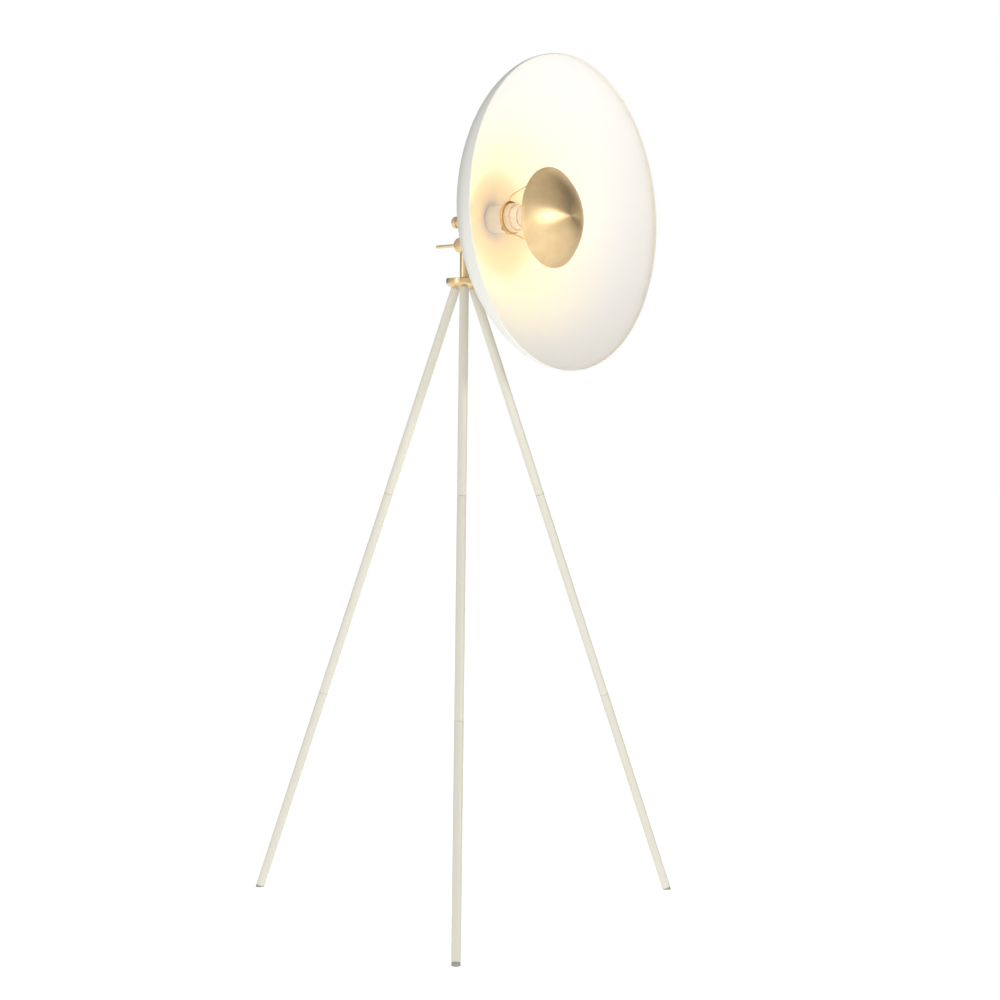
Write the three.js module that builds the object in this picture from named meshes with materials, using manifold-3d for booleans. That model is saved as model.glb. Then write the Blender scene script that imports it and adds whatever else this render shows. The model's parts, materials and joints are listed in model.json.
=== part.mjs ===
// Tripod floor lamp with a large dish shade and a small inner reflector.
// Millimetres, +Z up, the head faces -Y. The origin is the middle of the bounding box, on the floor.
import * as THREE from 'three';
import { mergeVertices } from 'three/addons/utils/BufferGeometryUtils.js';
import Module from 'manifold-3d';

const wasm = await Module();
wasm.setup();

// ---------- driving dimensions ----------
const GAP = 0.3;                 // clearance between pieces that are fitted together
const THREAD_GAP = 0.3;          // clearance of a screwed pair, threads left plain

// stand
const HUB_TOP_Z = 1103;
const HUB_RADIUS = 31.5;
const HUB_EDGE = 8.5;            // upright edge of the hub bowl
const HUB_HEIGHT = 17.5;
const HUB_FLAT_RADIUS = 13;      // flat middle of the underside
const FOOT_RADIUS = 432;         // from the lamp's axis to the middle of a foot
const LEG_DIAMETER = 16;
const LEG_WALL = 1.5;
const LEG_SECTIONS = 3;
const LEG_SEAT_DROP = 14;        // leg seat below the top of the hub
const LEG_SPACING = 8.5;         // lamp's axis to the inner side of a leg at its seat
const LEG_AZIMUTH = -142.3;      // first leg, degrees from +X
const SEAM = 0.5;                // gap between screwed leg sections
const STUD_RADIUS = 4;
const STUD_IN_HUB = 8;
const STUD_IN_LEG = 18;
const PLUG_LENGTH = 22;
const GLIDE_RADIUS = 7.3;
const GLIDE_STANDOFF = 5;        // tube end to the floor, along the leg

// swivel
const PIVOT_RISE = 57;           // top of the hub to the pivot
const POST_RADIUS = 8;
const SPINDLE_RADIUS = 5;
const SPINDLE_RISE = 30;
const SPINDLE_BORE = 3;
const GROOVE_RISE = 20;          // grub screw above the top of the hub
const PAN_WASHER = 1.2;
const CLEVIS_CHEEK_RADIUS = 10;
const CLEVIS_FOOT = 6;
const EYE_THICKNESS = 6;
const FRICTION_WASHER = 0.6;
const BOLT_RADIUS = 3;
const CLAMP_RADIUS = 12.9;
const CLAMP_THICKNESS = 9.6;
const LEVER_RADIUS = 2.8;
const LEVER_REACH = 51;          // pivot axis to the tip of the lever
const LEVER_DROOP = 1.5;         // degrees below level

// head
const AXIS_RISE = 41;            // pivot to the lamp axis
const HEAD_TILT = 1;             // degrees nose up at rest
const STEM_RADIUS = 10;
const STEM_WALL = 1.2;
const STEM_BACK = -11;
const DISH_RADIUS = 265.5;
const DISH_DEPTH = 163.7;
const DISH_WALL = 1.2;
const DISH_RIM_WALL = 2.4;       // hemmed edge
const DISH_STEPS = 10;
const DISH_APEX = 59;            // pivot axis to the back of the dish, along the lamp axis
const NIPPLE_RADIUS = 5;
const NIPPLE_BORE = 3.6;
const NIPPLE_IN_CORE = 4;
const CUP_RADIUS = 24;
const COVER_GAP = 2.3;           // holder's core to the inside of its cover
const HOLDER_WALL = 1.2;
const CORE_RADIUS = 20.5;
const HOLDER_SEAT = 37.9;        // base of the holder's core to the front of the shade ring
const HOLDER_NOSE = 25;          // shade ring to the mouth of the holder
const CAVITY_DEPTH = 27;         // mouth of the holder to its centre contact
const RING_RADIUS = 29;
const RING_THICKNESS = 4;
const LOCK_WALL = 4.2;          // of the nut that holds the shade ring
const LOCK_LENGTH = 10.5;
const CAP_RADIUS = 13.1;
const CAP_LENGTH = 22;
const BULB_NECK = 19.5;
const BULB_RADIUS = 22.5;
const BULB_SKIRT = 18;
const BULB_DOME = 38;
const REFLECTOR_RADIUS = 85;
const REFLECTOR_DEPTH = 41.4;
const REFLECTOR_WALL = 1;
const REFLECTOR_OFFSET = 85;     // front of the shade ring to the reflector's rim
const REFLECTOR_SAG = 5.3;       // how far the reflector hangs below the lamp axis, on its wires
const WIRE_RADIUS = 1;
const WIRE_BEND_OUT = 9;         // ring's edge to the bend of a spider wire
const WIRE_SPREAD = 0.46;        // outward run of a spider wire for each millimetre forward
const LUG_RADIUS = 3.2;
const LUG_THICKNESS = 1.4;
const LUG_GAP = 0.9;             // brazing filler between a lug and the reflector
const SPIDER_TURN = 5;           // degrees from upright to the first wire
const KNOB_RADIUS = 10.6;
const KNOB_LENGTH = 10.9;
const KNOB_SCREW = 1.5;
const NECK_RADIUS = 4;
const SWITCH_SPINDLE = 2;
const LEAD_RADIUS = 0.9;

const rad = THREE.MathUtils.degToRad;

// ---------- materials ----------
const finishes = {
  ivory: { color: 0xded9ca, roughness: 0.45, metalness: 0.0 },
  white: { color: 0xebebe4, roughness: 0.5, metalness: 0.0 },
  brass: { color: 0xc8a062, roughness: 0.32, metalness: 1.0 },
  steel: { color: 0xb9b9b6, roughness: 0.4, metalness: 1.0 },
  rubber: { color: 0x77756f, roughness: 0.85, metalness: 0.0 },
  nylon: { color: 0xe6e2d6, roughness: 0.6, metalness: 0.0 },
  ceramic: { color: 0xf2efe6, roughness: 0.3, metalness: 0.0 },
  opal: { color: 0xfff0d0, roughness: 0.4, metalness: 0.0 },
  board: { color: 0xf4f1e8, roughness: 0.5, metalness: 0.0 },
  red: { color: 0x8a3b2a, roughness: 0.6, metalness: 0.0 },
  blue: { color: 0x35507a, roughness: 0.6, metalness: 0.0 },
};

function piece(name, geometry, finish, parent) {
  const mesh = new THREE.Mesh(geometry, new THREE.MeshStandardMaterial(finishes[finish]));
  mesh.name = name;
  parent.add(mesh);
  return mesh;
}

// ---------- shapes ----------
const P = (r, z) => new THREE.Vector2(r, z);

// A turned solid about +Z from a profile of (radius, height) points, walked upwards on its outside.
function turned(points, segments = 18) {
  return new THREE.LatheGeometry(points, segments).rotateX(Math.PI / 2);
}

// A turned ring: the profile closes on itself, away from the axis.
function turnedRing(points, segments = 18) {
  return turned([...points, points[0].clone()], segments);
}

function rod(radius, low, high, segments = 18) {
  return turned([P(0, low), P(radius, low), P(radius, high), P(0, high)], segments);
}

function sleeve(bore, radius, low, high, segments = 18) {
  return turnedRing([P(radius, low), P(radius, high), P(bore, high), P(bore, low)], segments);
}

function block(x, y, z, low) {
  return new THREE.BoxGeometry(x, y, z).translate(0, 0, low + z / 2);
}

// Points of an arc, for use inside a profile; angles in degrees.
function arc(cr, cz, radius, from, to, steps) {
  const points = [];
  for (let i = 0; i <= steps; i++) {
    const a = rad(from + (to - from) * i / steps);
    points.push(P(cr + radius * Math.cos(a), cz + radius * Math.sin(a)));
  }
  return points;
}

// ---------- solid booleans ----------
function solid(geometry) {
  const bare = geometry.index ? geometry.toNonIndexed() : geometry.clone();
  bare.deleteAttribute('normal');
  bare.deleteAttribute('uv');
  const merged = mergeVertices(bare, 1e-4);
  const position = merged.getAttribute('position').array;
  const kept = [];
  const index = merged.getIndex().array;
  for (let i = 0; i < index.length; i += 3) {
    const [a, b, c] = [index[i], index[i + 1], index[i + 2]];
    if (a !== b && b !== c && c !== a) kept.push(a, b, c);
  }
  return new wasm.Manifold(new wasm.Mesh({
    numProp: 3,
    vertProperties: new Float32Array(position),
    triVerts: new Uint32Array(kept),
  }));
}

function shape(manifold) {
  const mesh = manifold.getMesh();
  const geometry = new THREE.BufferGeometry();
  const position = new Float32Array(mesh.numVert * 3);
  for (let v = 0; v < mesh.numVert; v++) {
    for (let k = 0; k < 3; k++) {
      position[v * 3 + k] = mesh.vertProperties[v * mesh.numProp + k];
    }
  }
  geometry.setAttribute('position', new THREE.BufferAttribute(position, 3));
  geometry.setIndex(new THREE.BufferAttribute(new Uint32Array(mesh.triVerts), 1));
  return geometry;
}

function cut(base, ...tools) {
  return shape(tools.reduce((left, tool) => left.subtract(solid(tool)), solid(base)));
}

function join(base, ...others) {
  return shape(others.reduce((left, other) => left.add(solid(other)), solid(base)));
}

// Turns a shape made along +Z so that it lies along +X, or along +Y.
const alongX = (geometry) => geometry.rotateY(Math.PI / 2);
const alongY = (geometry) => geometry.rotateX(-Math.PI / 2);

const lamp = new THREE.Group();

// ---------- stand: hub, legs and feet ----------
const HUB_BOTTOM_Z = HUB_TOP_Z - HUB_HEIGHT;
const HUB_BORE = SPINDLE_RADIUS + 1;
const LEG_RADIUS = LEG_DIAMETER / 2;
const LEG_BORE = LEG_RADIUS - LEG_WALL;
const LEG_TOP_R = LEG_SPACING + LEG_RADIUS;
const LEG_TOP_Z = HUB_TOP_Z - LEG_SEAT_DROP;
const LEG_TILT = Math.atan2(FOOT_RADIUS - LEG_TOP_R, LEG_TOP_Z);
const LEG_LENGTH = LEG_TOP_Z / Math.cos(LEG_TILT);
const SECTION_LENGTH = (LEG_LENGTH - GLIDE_STANDOFF - GAP - (LEG_SECTIONS - 1) * SEAM) / LEG_SECTIONS;
const legAzimuths = [0, 120, 240].map((turn) => rad(LEG_AZIMUTH + turn));

// Frame of one leg: origin in the middle of its seat under the hub, +Z up along the leg.
function legFrame(azimuth) {
  const turn = new THREE.Matrix4().makeRotationZ(azimuth);
  const place = new THREE.Matrix4().makeTranslation(LEG_TOP_R, 0, LEG_TOP_Z);
  const lean = new THREE.Matrix4().makeRotationY(-LEG_TILT);
  return turn.multiply(place).multiply(lean);
}

function hubBowl() {
  const edge = 1;
  const shoulder = HUB_TOP_Z - HUB_EDGE;
  const bowlDepth = shoulder - HUB_BOTTOM_Z;
  const bowlWidth = HUB_RADIUS - HUB_FLAT_RADIUS;
  const bowl = turned([
    P(0, HUB_BOTTOM_Z),
    P(HUB_FLAT_RADIUS, HUB_BOTTOM_Z),
    P(HUB_FLAT_RADIUS + 0.55 * bowlWidth, HUB_BOTTOM_Z + 0.22 * bowlDepth),
    P(HUB_RADIUS - 2.5, shoulder - 0.38 * bowlDepth),
    P(HUB_RADIUS, shoulder),
    P(HUB_RADIUS, HUB_TOP_Z - edge),
    P(HUB_RADIUS - edge, HUB_TOP_Z),
    P(0, HUB_TOP_Z),
  ], 32);
  const cuts = [rod(HUB_BORE + THREAD_GAP, HUB_BOTTOM_Z - 5, HUB_TOP_Z + 5, 20)];
  for (const azimuth of legAzimuths) {
    const frame = legFrame(azimuth);
    cuts.push(rod(LEG_RADIUS + GAP, -30, GAP, 20).applyMatrix4(frame));
    cuts.push(rod(STUD_RADIUS + THREAD_GAP, -5, STUD_IN_HUB + GAP, 12).applyMatrix4(frame));
  }
  return cut(bowl, ...cuts);
}

// One leg section, its top at z = 0: the bore narrows to a threaded collar at the top.
function legSection() {
  const collar = STUD_RADIUS + THREAD_GAP;
  return turnedRing([
    P(LEG_BORE, -SECTION_LENGTH),
    P(LEG_RADIUS, -SECTION_LENGTH),
    P(LEG_RADIUS, 0),
    P(collar, 0),
    P(collar, -STUD_IN_LEG - 2),
    P(LEG_BORE, -STUD_IN_LEG - 2),
  ], 18);
}

// A coupler: a plug held in the section above and a threaded pin for the section below.
function legCoupler() {
  return turned([
    P(0, -STUD_IN_LEG),
    P(STUD_RADIUS, -STUD_IN_LEG),
    P(STUD_RADIUS, 0),
    P(LEG_BORE - GAP, 0),
    P(LEG_BORE - GAP, PLUG_LENGTH),
    P(0, PLUG_LENGTH),
  ], 12);
}

// The glide is trimmed level with the floor, so that it stands flat.
function footGlide(azimuth) {
  const tubeEnd = GLIDE_STANDOFF;
  const glide = turned([
    P(0, -tubeEnd),
    P(GLIDE_RADIUS, -tubeEnd),
    P(GLIDE_RADIUS, tubeEnd - GAP),
    P(LEG_BORE - GAP, tubeEnd - GAP),
    P(LEG_BORE - GAP, tubeEnd + 14),
    P(0, tubeEnd + 14),
  ], 18).translate(0, 0, -LEG_LENGTH);
  const belowFloor = new THREE.BoxGeometry(60, 60, 40)
    .translate(FOOT_RADIUS * Math.cos(azimuth), FOOT_RADIUS * Math.sin(azimuth), -20)
    .applyMatrix4(legFrame(azimuth).invert());
  return cut(glide, belowFloor);
}

const legNames = ['a', 'b', 'c'];
piece('hub_bowl', hubBowl(), 'brass', lamp);
legAzimuths.forEach((azimuth, n) => {
  const letter = legNames[n];
  const leg = new THREE.Group();
  leg.applyMatrix4(legFrame(azimuth));
  lamp.add(leg);
  piece(`leg_stud_${letter}`, rod(STUD_RADIUS, -STUD_IN_LEG, STUD_IN_HUB, 12), 'steel', leg);
  for (let section = 0; section < LEG_SECTIONS; section++) {
    const top = -section * (SECTION_LENGTH + SEAM);
    piece(`leg_${letter}_tube_${section + 1}`, legSection().translate(0, 0, top), 'ivory', leg);
    if (section > 0) {
      piece(`leg_${letter}_coupler_${section}`, legCoupler().translate(0, 0, top), 'steel', leg);
    }
  }
  piece(`foot_glide_${letter}`, footGlide(azimuth), 'rubber', leg);
});

const spindleFoot = HUB_BOTTOM_Z + 5;
const grooveZ = HUB_TOP_Z + GROOVE_RISE;
piece('cord_bush', turnedRing([
  P(SPINDLE_BORE, HUB_BOTTOM_Z - 1.5),
  P(HUB_BORE - 1, HUB_BOTTOM_Z - 1.5),
  P(HUB_BORE, HUB_BOTTOM_Z - 0.5),
  P(HUB_BORE, spindleFoot - GAP),
  P(SPINDLE_BORE, spindleFoot - GAP),
], 16), 'rubber', lamp);
piece('pan_spindle', turnedRing([
  P(SPINDLE_BORE, spindleFoot),
  P(HUB_BORE, spindleFoot),
  P(HUB_BORE, HUB_TOP_Z),
  P(SPINDLE_RADIUS, HUB_TOP_Z),
  P(SPINDLE_RADIUS, grooveZ - 2.4),
  P(SPINDLE_RADIUS - 1, grooveZ - 2.4),
  P(SPINDLE_RADIUS - 1, grooveZ + 2.4),
  P(SPINDLE_RADIUS, grooveZ + 2.4),
  P(SPINDLE_RADIUS, HUB_TOP_Z + SPINDLE_RISE),
  P(SPINDLE_BORE, HUB_TOP_Z + SPINDLE_RISE),
], 16), 'steel', lamp);

// ---------- swivel: post, clevis and clamp ----------
const swivel = new THREE.Group();
lamp.add(swivel);
const PIVOT_Z = HUB_TOP_Z + PIVOT_RISE;
const POST_BORE = SPINDLE_RADIUS + GAP;
const postLow = HUB_TOP_Z + GAP + PAN_WASHER + GAP;
const CHEEK_OUTER = POST_RADIUS;
const SLOT_HALF = EYE_THICKNESS / 2 + FRICTION_WASHER + 2 * 0.2;
const slotFloor = PIVOT_Z - CLEVIS_CHEEK_RADIUS - 0.5;
const clevisLow = slotFloor - CLEVIS_FOOT;
const postHigh = clevisLow - GAP;

piece('pan_washer', sleeve(POST_BORE, POST_RADIUS, HUB_TOP_Z + GAP, HUB_TOP_Z + GAP + PAN_WASHER, 20),
  'nylon', swivel);

const SCREW_RADIUS = 2;
const screwHole = () => alongY(rod(SCREW_RADIUS + 0.2, 0, POST_RADIUS + 2, 12)).translate(0, 0, grooveZ);
piece('post', cut(sleeve(POST_BORE, POST_RADIUS, postLow, postHigh, 24), screwHole()), 'brass', swivel);
piece('pan_grub_screw', alongY(rod(SCREW_RADIUS, SPINDLE_RADIUS - 1 + GAP, POST_RADIUS - 0.4, 10))
  .translate(0, 0, grooveZ), 'steel', swivel);

function clevis() {
  const stub = rod(POST_RADIUS, clevisLow, PIVOT_Z, 24);
  const spigot = rod(POST_BORE - GAP, clevisLow - 8, clevisLow + 2, 16);
  const cheeks = alongX(rod(CLEVIS_CHEEK_RADIUS, -CHEEK_OUTER, CHEEK_OUTER, 24)).translate(0, 0, PIVOT_Z);
  const slot = block(2 * SLOT_HALF, 60, 60, slotFloor);
  const wireWay = rod(SPINDLE_BORE, clevisLow - 12, slotFloor + 5, 16);
  const boltHole = alongX(rod(BOLT_RADIUS + GAP, -20, 20, 16)).translate(0, 0, PIVOT_Z);
  return cut(join(stub, spigot, cheeks), slot, wireWay, boltHole);
}
piece('clevis', clevis(), 'brass', swivel);

const boltHeadInner = CHEEK_OUTER + GAP;
const clampInner = CHEEK_OUTER + GAP;
const clampOuter = clampInner + CLAMP_THICKNESS;
const boltEnd = clampOuter - 3;
piece('pivot_bolt', alongX(turned([
  P(0, -boltEnd),
  P(BOLT_RADIUS, -boltEnd),
  P(BOLT_RADIUS, boltHeadInner),
  P(6.5, boltHeadInner),
  P(6.5, boltHeadInner + 1.5),
  ...arc(0, boltHeadInner + 1.5 - 4.2, 7.74, 32.87, 78, 4),
  P(0, boltHeadInner + 5.04),
], 24)).translate(0, 0, PIVOT_Z), 'brass', swivel);

const clamp = new THREE.Group();
clamp.position.set(0, 0, PIVOT_Z);
clamp.rotation.x = -rad(LEVER_DROOP);
swivel.add(clamp);
const leverX = clampInner + 0.58 * CLAMP_THICKNESS;
const leverRoot = 0.55 * CLAMP_RADIUS;

function clampKnob() {
  const knob = turned([
    P(0, -clampOuter),
    P(0.45 * CLAMP_RADIUS, -clampOuter),
    P(0.8 * CLAMP_RADIUS, -clampOuter + 1.2),
    P(CLAMP_RADIUS, -clampOuter + 3.4),
    P(CLAMP_RADIUS, -clampInner - 2),
    P(CLAMP_RADIUS - 2, -clampInner),
    P(0, -clampInner),
  ], 24);
  const threadHole = rod(BOLT_RADIUS + THREAD_GAP, -boltEnd - GAP, 0, 16);
  const turnedKnob = cut(knob, threadHole);
  const rodHole = alongY(rod(LEVER_RADIUS + GAP, leverRoot - GAP, 40, 16)).translate(-leverX, 0, 0);
  return cut(alongX(turnedKnob), rodHole);
}
piece('clamp_knob', clampKnob(), 'brass', clamp);
piece('clamp_lever', alongY(turned([
  P(0, leverRoot),
  P(LEVER_RADIUS, leverRoot),
  P(LEVER_RADIUS, LEVER_REACH - 0.6),
  P(LEVER_RADIUS - 0.6, LEVER_REACH),
  P(0, LEVER_REACH),
], 16)).translate(-leverX, 0, 0), 'brass', clamp);

// ---------- head ----------
const head = new THREE.Group();
head.position.set(0, 0, PIVOT_Z);
head.rotation.x = -rad(HEAD_TILT);
lamp.add(head);

function headArm() {
  const half = EYE_THICKNESS / 2;
  const neckLow = CLEVIS_CHEEK_RADIUS + 1.5;
  const eye = alongX(rod(CLEVIS_CHEEK_RADIUS, -half, half, 24));
  const web = block(EYE_THICKNESS, 12, neckLow + 2, 0);
  const neck = rod(6, neckLow, AXIS_RISE - 2, 24);
  const saddle = alongY(rod(STEM_RADIUS + GAP, -20, 20, 32)).translate(0, 0, AXIS_RISE);
  const boltHole = alongX(rod(BOLT_RADIUS + GAP, -20, 20, 16));
  return cut(join(eye, web, neck), saddle, boltHole);
}
piece('head_arm', headArm(), 'brass', head);
[-1, 1].forEach((side) => {
  const middle = side * (EYE_THICKNESS / 2 + 0.2 + FRICTION_WASHER / 2);
  const washer = sleeve(BOLT_RADIUS + GAP, CLEVIS_CHEEK_RADIUS - 0.5,
    -FRICTION_WASHER / 2, FRICTION_WASHER / 2, 24);
  piece(side < 0 ? 'friction_washer_left' : 'friction_washer_right',
    alongX(washer).translate(middle, 0, 0), 'nylon', head);
});

// Pieces on the lamp axis stand in their own frame: +Z runs forward along the axis, +Y is up.
const barrel = new THREE.Group();
barrel.position.set(0, 0, AXIS_RISE);
barrel.rotation.x = Math.PI / 2;
head.add(barrel);

// Meridian of the outside of the dish, from its back to its rim.
const dishCurve = new THREE.CubicBezierCurve(
  P(0, 0),
  P(0.3 * DISH_RADIUS, 0),
  P(DISH_RADIUS, 0.66 * DISH_DEPTH),
  P(DISH_RADIUS, DISH_DEPTH),
);

// Stations along the meridian, closer together near the middle.
const dishStations = [];
for (let i = 0; i <= DISH_STEPS; i++) dishStations.push((i / DISH_STEPS) ** 1.25);

// Height of the dish's outside above its back, at a distance from the axis.
function dishRise(radius) {
  const points = dishStations.map((t) => dishCurve.getPoint(t));
  const next = points.findIndex((point) => point.x >= radius);
  const [from, to] = [points[next - 1], points[next]];
  return from.y + (to.y - from.y) * (radius - from.x) / (to.x - from.x);
}

const cupLow = DISH_APEX - 13;
const stemFront = DISH_APEX - 6;
piece('stem_tube', sleeve(STEM_RADIUS - STEM_WALL, STEM_RADIUS, STEM_BACK, stemFront, 32), 'brass', barrel);

function backCup() {
  const bore = STEM_RADIUS + GAP;
  const hole = NIPPLE_RADIUS + GAP;
  const face = (r) => P(r, DISH_APEX + dishRise(r) - GAP);
  return turnedRing([
    P(hole, stemFront + GAP),
    P(bore, stemFront + GAP),
    P(bore, cupLow),
    P(bore + 2, cupLow),
    P(0.7 * CUP_RADIUS, cupLow + 4.5),
    P(CUP_RADIUS, DISH_APEX + dishRise(CUP_RADIUS) - GAP - 3),
    face(CUP_RADIUS),
    face(0.7 * CUP_RADIUS),
    face(0.4 * CUP_RADIUS),
    face(hole),
  ], 28);
}
piece('back_cup', backCup(), 'brass', barrel);

function dishShade() {
  const hole = NIPPLE_RADIUS + GAP;
  const outside = [P(hole, dishRise(hole))];
  const inside = [P(hole, dishRise(hole) + DISH_WALL)];
  for (const t of dishStations) {
    const point = dishCurve.getPoint(t);
    if (point.x <= hole + 2) continue;
    const tangent = dishCurve.getTangent(t);
    const wall = t === 1 ? DISH_RIM_WALL : DISH_WALL;
    outside.push(point);
    inside.push(P(point.x - tangent.y * wall, point.y + tangent.x * wall));
  }
  return turnedRing([...outside, ...inside.reverse()], 48).translate(0, 0, DISH_APEX);
}
piece('dish_shade', dishShade(), 'white', barrel);

// lampholder
const nippleLow = stemFront - 9;
const holderRadius = CORE_RADIUS + COVER_GAP + HOLDER_WALL;
const holderBase = DISH_APEX + DISH_WALL + GAP;
const coreLow = holderBase + dishRise(CORE_RADIUS) + HOLDER_WALL + GAP + 1.5;
const ringFront = coreLow + HOLDER_SEAT;
const ringBack = ringFront - RING_THICKNESS;
const coreHigh = ringFront + HOLDER_NOSE;
const cavityFloor = coreHigh - CAVITY_DEPTH;
const capLow = cavityFloor + 2.4;
const cavity = CAP_RADIUS + 0.9;
const nippleHigh = coreLow + NIPPLE_IN_CORE - 1;
piece('dish_nipple', sleeve(NIPPLE_BORE, NIPPLE_RADIUS, nippleLow, nippleHigh, 20), 'steel', barrel);
piece('nipple_nut', cut(rod(STEM_RADIUS - STEM_WALL - GAP, stemFront - 5, stemFront - GAP, 6),
  rod(NIPPLE_RADIUS + THREAD_GAP, stemFront - 8, stemFront + 2, 20)), 'steel', barrel);

function holderCover() {
  const hole = NIPPLE_RADIUS + GAP;
  const floor = (r, lift) => P(r, holderBase + dishRise(r) + lift);
  return turnedRing([
    floor(hole, 0),
    floor(0.55 * holderRadius, 0),
    floor(holderRadius - 1, 0.4),
    floor(holderRadius, 1.6),
    P(holderRadius, ringBack - GAP),
    P(holderRadius - HOLDER_WALL, ringBack - GAP),
    floor(holderRadius - HOLDER_WALL, 1.6),
    floor(0.55 * holderRadius, HOLDER_WALL),
    floor(hole, HOLDER_WALL),
  ], 28);
}
piece('holder_cover', holderCover(), 'white', barrel);

function holderCore() {
  const body = turnedRing([
    P(NIPPLE_BORE, coreLow + NIPPLE_IN_CORE),
    P(NIPPLE_RADIUS + THREAD_GAP, coreLow + NIPPLE_IN_CORE),
    P(NIPPLE_RADIUS + THREAD_GAP, coreLow),
    P(CORE_RADIUS, coreLow),
    P(CORE_RADIUS, coreHigh),
    P(cavity, coreHigh),
    P(cavity, cavityFloor),
    P(NIPPLE_BORE, cavityFloor),
  ], 24);
  return body;
}
piece('holder_core', holderCore(), 'ceramic', barrel);
piece('centre_contact', block(8, 5, 1, cavityFloor + GAP), 'brass', barrel);
piece('side_contact', new THREE.BoxGeometry(0.4, 4, CAP_LENGTH - 8)
  .translate(CAP_RADIUS + 0.35, 0, capLow + CAP_LENGTH / 2), 'brass', barrel);

// bulb
const skirtLow = coreHigh + 1;
const skirtHigh = skirtLow + BULB_SKIRT;
const domeHigh = skirtHigh + BULB_DOME;
const skirtWall = 1.6;
piece('bulb_cap', turned([
  P(0, capLow),
  P(4.5, capLow),
  P(5.5, capLow + 2),
  P(CAP_RADIUS, capLow + 5),
  P(CAP_RADIUS, skirtLow - GAP),
  P(0, skirtLow - GAP),
], 24), 'steel', barrel);

// Radius of the bulb's skirt, which flares from its neck to the dome.
function skirtRadius(z) {
  const t = (z - skirtLow) / BULB_SKIRT;
  return BULB_NECK + (BULB_RADIUS - BULB_NECK) * Math.sin(t * Math.PI / 2);
}

function bulbHousing() {
  const rows = 4;
  const outside = [];
  const inside = [];
  for (let i = 0; i <= rows; i++) {
    const z = skirtLow + BULB_SKIRT * i / rows;
    outside.push(P(skirtRadius(z), z));
    inside.push(P(skirtRadius(z) - skirtWall, Math.max(z, skirtLow + skirtWall)));
  }
  return turned([P(0, skirtLow), ...outside, ...inside.reverse(), P(0, skirtLow + skirtWall)], 24);
}
piece('bulb_housing', bulbHousing(), 'board', barrel);

const boardLow = skirtHigh - 3;
const boardRadius = skirtRadius(boardLow) - skirtWall - 1.5;
piece('led_board', rod(boardRadius, boardLow, boardLow + 1.6, 24), 'board', barrel);

// The dome: a half ellipsoid shell, open at the skirt.
function bulbDome() {
  const rows = 6;
  const low = skirtHigh + GAP;
  const outside = [];
  const inside = [];
  for (let i = 0; i <= rows; i++) {
    const a = Math.PI / 2 * i / rows;
    const height = domeHigh - low;
    outside.push(P(BULB_RADIUS * Math.cos(a), low + height * Math.sin(a)));
    inside.push(P((BULB_RADIUS - skirtWall) * Math.cos(a), low + (height - skirtWall) * Math.sin(a)));
  }
  outside[rows].x = 0;
  inside[rows].x = 0;
  return turned([...inside.reverse(), ...outside], 24);
}
piece('bulb_dome', bulbDome(), 'opal', barrel);

// inner reflector: a spun cap, hollow towards the bulb
const rimPlane = ringFront + REFLECTOR_OFFSET;
const ballRadius = (REFLECTOR_RADIUS ** 2 + REFLECTOR_DEPTH ** 2) / (2 * REFLECTOR_DEPTH);
const ballCentre = rimPlane + REFLECTOR_DEPTH - ballRadius;
const rimAngle = Math.asin(REFLECTOR_RADIUS / ballRadius);

function innerReflector() {
  const rows = 7;
  const outside = [];
  const inside = [];
  const innerBall = ballRadius - REFLECTOR_WALL;
  for (let i = 0; i <= rows; i++) {
    const a = rimAngle * (1 - i / rows);
    outside.push(P(ballRadius * Math.sin(a), ballCentre + ballRadius * Math.cos(a)));
    inside.push(P(innerBall * Math.sin(a), ballCentre + innerBall * Math.cos(a)));
  }
  outside[rows].x = 0;
  inside[rows].x = 0;
  return turned([...inside.reverse(), ...outside], 36).translate(0, -REFLECTOR_SAG, 0);
}
piece('inner_reflector', innerReflector(), 'brass', barrel);

// spider: three bent wires from the shade ring to lugs inside the reflector
const bendRadius = RING_RADIUS + WIRE_BEND_OUT;
const bendZ = ringFront + 2;
const wireAngles = [0, 120, 240].map((turn) => rad(90 + SPIDER_TURN + turn));

// The lug sits where the wire's straight run meets the inside of the reflector.
function lugPlace() {
  const lugBall = ballRadius - REFLECTOR_WALL - LUG_THICKNESS / 2 - LUG_GAP;
  let z = rimPlane;
  for (let i = 0; i < 30; i++) {
    const radius = bendRadius + WIRE_SPREAD * (z - bendZ);
    z = ballCentre + Math.sqrt(lugBall ** 2 - radius ** 2);
  }
  return P(bendRadius + WIRE_SPREAD * (z - bendZ), z);
}

const lug = lugPlace();

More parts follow.
